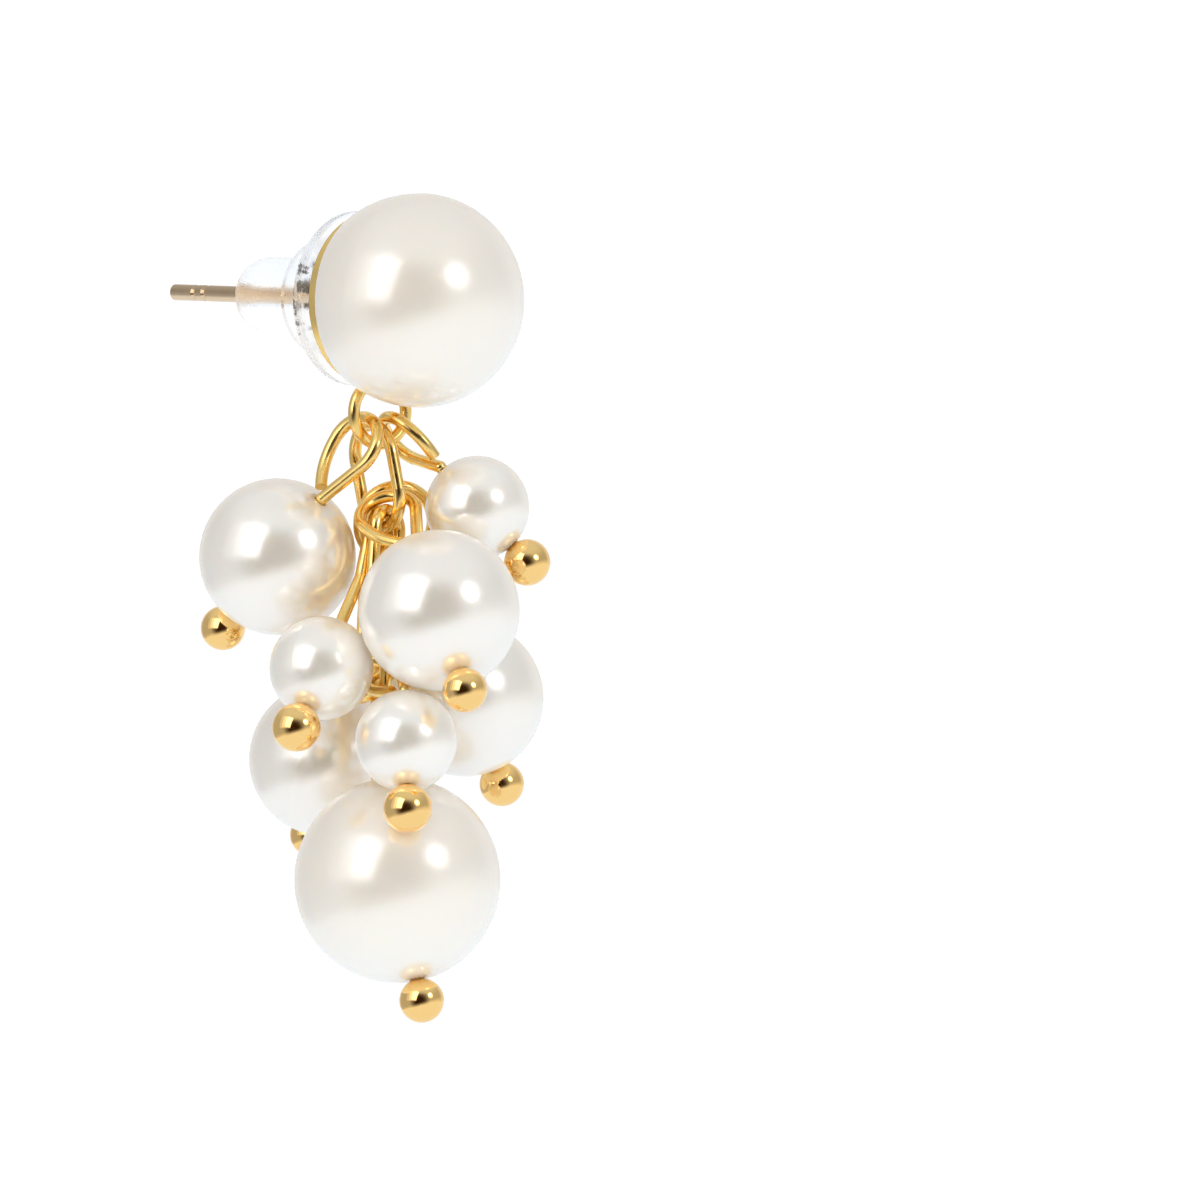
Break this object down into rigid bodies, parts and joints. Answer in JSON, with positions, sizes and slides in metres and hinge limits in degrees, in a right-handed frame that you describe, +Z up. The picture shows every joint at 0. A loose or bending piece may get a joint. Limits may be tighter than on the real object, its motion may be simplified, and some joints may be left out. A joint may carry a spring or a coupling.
{
  "type": "pearl cluster drop earring",
  "caption": "Drop earring: a large pearl stud on a post with a clear clutch, and a cluster of round drilled pearls on gold head pins hanging below it on oval links.",
  "frame": {"origin": "on the post's axis at the back face of the gold pad, where the front of the ear lobe sits", "axes": "+Y back along the post, through the lobe; -Y the wearer's front, where the stud pearl faces; +Z up"},
  "size_m": [0.0181, 0.0241, 0.0405],
  "materials": {
    "gold_plate": "polished gold plating",
    "pearl_coat": "glossy pearl coating, warm white",
    "clear_plastic": "clear soft plastic"
  },
  "bodies": {
    "stud": {"stud_base": "gold_plate", "stud_pearl": "pearl_coat"},
    "clutch": {"clutch": "clear_plastic"},
    "cluster": {"link_1": "gold_plate", "link_2": "gold_plate", "link_3": "gold_plate", "link_4": "gold_plate", "pearl_a": "pearl_coat", "pearl_b": "pearl_coat", "pearl_c": "pearl_coat", "pearl_d": "pearl_coat", "pearl_e": "pearl_coat", "pearl_f": "pearl_coat", "pearl_g": "pearl_coat", "pearl_h": "pearl_coat", "pearl_i": "pearl_coat", "pin_a": "gold_plate", "pin_b": "gold_plate", "pin_c": "gold_plate", "pin_d": "gold_plate", "pin_e": "gold_plate", "pin_f": "gold_plate", "pin_g": "gold_plate", "pin_h": "gold_plate", "pin_i": "gold_plate"}
  },
  "joints": [
    {"name": "clutch_slide", "type": "slide", "parent": "stud", "child": "clutch", "axis": [0, 1, 0], "range_m": [0, 0.0141]},
    {"name": "cluster_swing", "type": "hinge", "parent": "stud", "child": "cluster", "pos_m": [0.0007, -0.00004, -0.00714], "axis": [0.9877, -0.1564, 0], "range_deg": [-30, 30]}
  ]
}
